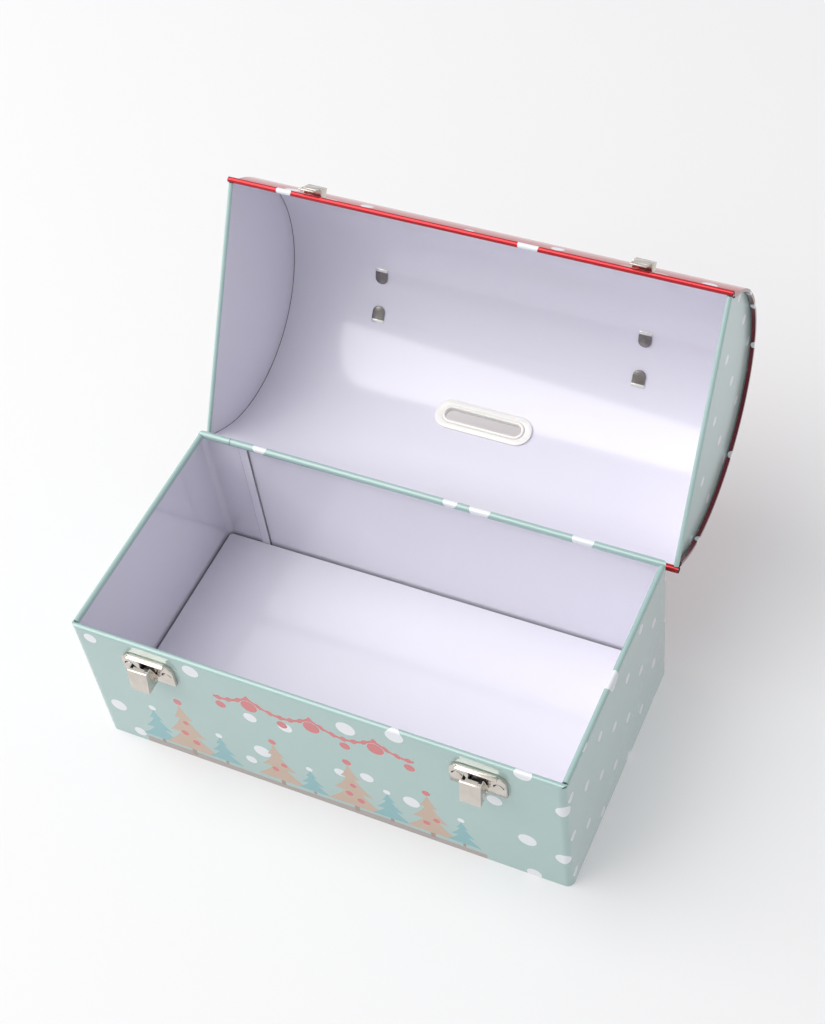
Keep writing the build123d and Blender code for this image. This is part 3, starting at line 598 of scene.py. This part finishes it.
# Bright outside. The ends that are bent over inside are painted darker, with a painted highlight where they
# fold
strap_nickel = make_nickel("strap_nickel", 0.26, strap_bright, strap_dark)
tree = strap_nickel.node_tree
shader = tree.nodes["Principled BSDF"]
darker_tabs = shader.inputs["Base Color"].links[0].from_socket
on_lid = flat_lid(tree, lay(tree, "ShaderNodeTexCoord").outputs["Object"])
_, across, up = lay(tree, "ShaderNodeSeparateXYZ", on_lid).outputs
up_arch = reckon(tree, "SUBTRACT", up, dome_middle)
along_strap = reckon(tree, "MULTIPLY_ADD", across, cos(strap_lean),
                     reckon(tree, "MULTIPLY", up_arch, sin(strap_lean)))
above_sheet = reckon(tree, "GREATER_THAN", span(tree, across, up_arch), sheet_middle)
plating = overprint(tree, beyond(tree, along_strap, strap_fold), darker_tabs, fold_painted_highlight)
plating = overprint(tree, above_sheet, plating, nickel_light)
tree.links.new(plating, shader.inputs["Base Color"])
for side in sides:
    round_edges("handle_bracket_" + side, 0.22 * mm, strap_nickel)

# ---------------------------------------------------------------------------------------------------
# Coin slot. A cream plastic grommet through the dome and a retainer ring round its collar inside, both
# injection moulded, with soft edges and a faint sheen.
# ---------------------------------------------------------------------------------------------------
cream = ink(249, 248, 243)
cream_deep = ink(244, 242, 236)
cream_cloud = 90.0


def make_cream_plastic(name, roughness):
    """Moulded plastic: soft gloss, a very fine grain, and a little light let into its surface."""
    finish, tree, shader, place = start_finish(name, roughness, coat=0.25, coat_roughness=0.12)
    tree.links.new(mottle(tree, place, cream, cream_deep, cream_cloud), shader.inputs["Base Color"])
    grain = cloud_noise(tree, place, scale=2600.0, detail=1.0)
    bump = lay(tree, "ShaderNodeBump", named={"Height": grain, "Distance": 0.002 * mm})
    tree.links.new(bump.outputs[0], shader.inputs["Normal"])
    shader.inputs["Subsurface Weight"].default_value = 0.08
    shader.inputs["Subsurface Scale"].default_value = 0.4 * mm
    return finish


cream_plastic = make_cream_plastic("cream_plastic", 0.34)
round_edges("slot_grommet", 0.35 * mm, cream_plastic)
round_edges("slot_retainer", 0.30 * mm, cream_plastic)

# ---------------------------------------------------------------------------------------------------
# Handle. A moulded bail that swings on two pins in the straps.
# ---------------------------------------------------------------------------------------------------
dress("handle", cream_plastic)

# ---------------------------------------------------------------------------------------------------
# Studio. A pale table, a broad softbox over the trunk's left front, a weak one low on the left, a white
# surround, and the camera high in front and to the right.
# ---------------------------------------------------------------------------------------------------
table_half = 4.0
table_drop = 0.05 * mm
table_white = (1.0, 0.995, 1.0, 1.0)
table_mesh = bpy.data.meshes.new("table")
table_mesh.from_pydata([(-table_half, -table_half, 0), (table_half, -table_half, 0),
                        (table_half, table_half, 0), (-table_half, table_half, 0)], [], [(0, 1, 2, 3)])
table = bpy.data.objects.new("table", table_mesh)
bpy.context.scene.collection.objects.link(table)
table.location.z = -table_drop
table_finish, tree, shader, place = start_finish("table_finish", roughness=0.7, coat=0.0)
shader.inputs["Base Color"].default_value = ink(196, 196, 197)
shader.inputs["Emission Color"].default_value = table_white
shader.inputs["Emission Strength"].default_value = 0.31
table_mesh.materials.append(table_finish)

sky_white = (0.93, 0.95, 1.0, 1.0)
plain_white = (1.0, 1.0, 1.0, 1.0)
sky_strength = 0.47
wall_glow = 0.55
ceiling_glow = 0.40
world = bpy.data.worlds.new("white_surround")
bpy.context.scene.world = world
world.use_nodes = True
tree = world.node_tree
tree.nodes.clear()
ray = lay(tree, "ShaderNodeLightPath")
mirrored = either(tree, ray.outputs["Is Glossy Ray"], ray.outputs["Is Transmission Ray"])
skyward = lay(tree, "ShaderNodeSeparateXYZ", lay(tree, "ShaderNodeTexCoord").outputs["Generated"]).outputs[2]
room_glow = reckon(tree, "MULTIPLY_ADD", reckon(tree, "MAXIMUM", skyward, 0.0), ceiling_glow, wall_glow)
fill = lay(tree, "ShaderNodeBackground", sky_white, sky_strength)
room = lay(tree, "ShaderNodeBackground", plain_white, room_glow)
white = lay(tree, "ShaderNodeBackground", plain_white, 1.0)
unseen = lay(tree, "ShaderNodeMixShader", mirrored, fill.outputs[0], room.outputs[0])
surround = lay(tree, "ShaderNodeMixShader", ray.outputs["Is Camera Ray"], unseen.outputs[0], white.outputs[0])
lay(tree, "ShaderNodeOutputWorld", surround.outputs[0])


lamp_white = (1.0, 0.985, 0.96)


def hang_softbox(name, width, spot, aim, watts):
    """A square softbox, hung at a spot and turned towards what it lights."""
    lamp = bpy.data.lights.new(name, "AREA")
    lamp.shape = "RECTANGLE"
    lamp.size = width
    lamp.size_y = width
    lamp.energy = watts
    lamp.color = lamp_white
    box = bpy.data.objects.new(name, lamp)
    bpy.context.scene.collection.objects.link(box)
    box.location = spot
    box.rotation_mode = "QUATERNION"
    box.rotation_quaternion = (Vector(aim) - Vector(spot)).to_track_quat("-Z", "Y")


hang_softbox("overhead_softbox", width=2.2, spot=(-1.08, -0.51, 1.81), aim=(0.0, 0.05, 0.05), watts=47.0)
hang_softbox("side_softbox", width=1.2, spot=(-1.9, 0.1, 0.75), aim=(0.0, 0.05, 0.06), watts=5.0)

azimuth = radians(31.148)
elevation = radians(50.084)
roll = radians(-8.915)
target = Vector((-13.139, 63.522, 40.0)) * mm
distance = 738.14 * mm
back = Vector((sin(azimuth) * cos(elevation), -cos(azimuth) * cos(elevation), sin(elevation)))
level = (-back).cross(Vector((0, 0, 1))).normalized()
upright = level.cross(-back)
right = level * cos(roll) + upright * sin(roll)
top = upright * cos(roll) - level * sin(roll)
lens = bpy.data.cameras.new("camera")
lens.sensor_width = 36.0
lens.lens = 63.46
lens.clip_start = 0.01
camera = bpy.data.objects.new("camera", lens)
bpy.context.scene.collection.objects.link(camera)
facing = Matrix((right, top, back)).transposed().to_4x4()
camera.matrix_world = Matrix.Translation(target + back * distance) @ facing
bpy.context.scene.camera = camera
bpy.context.scene.view_settings.view_transform = "Standard"
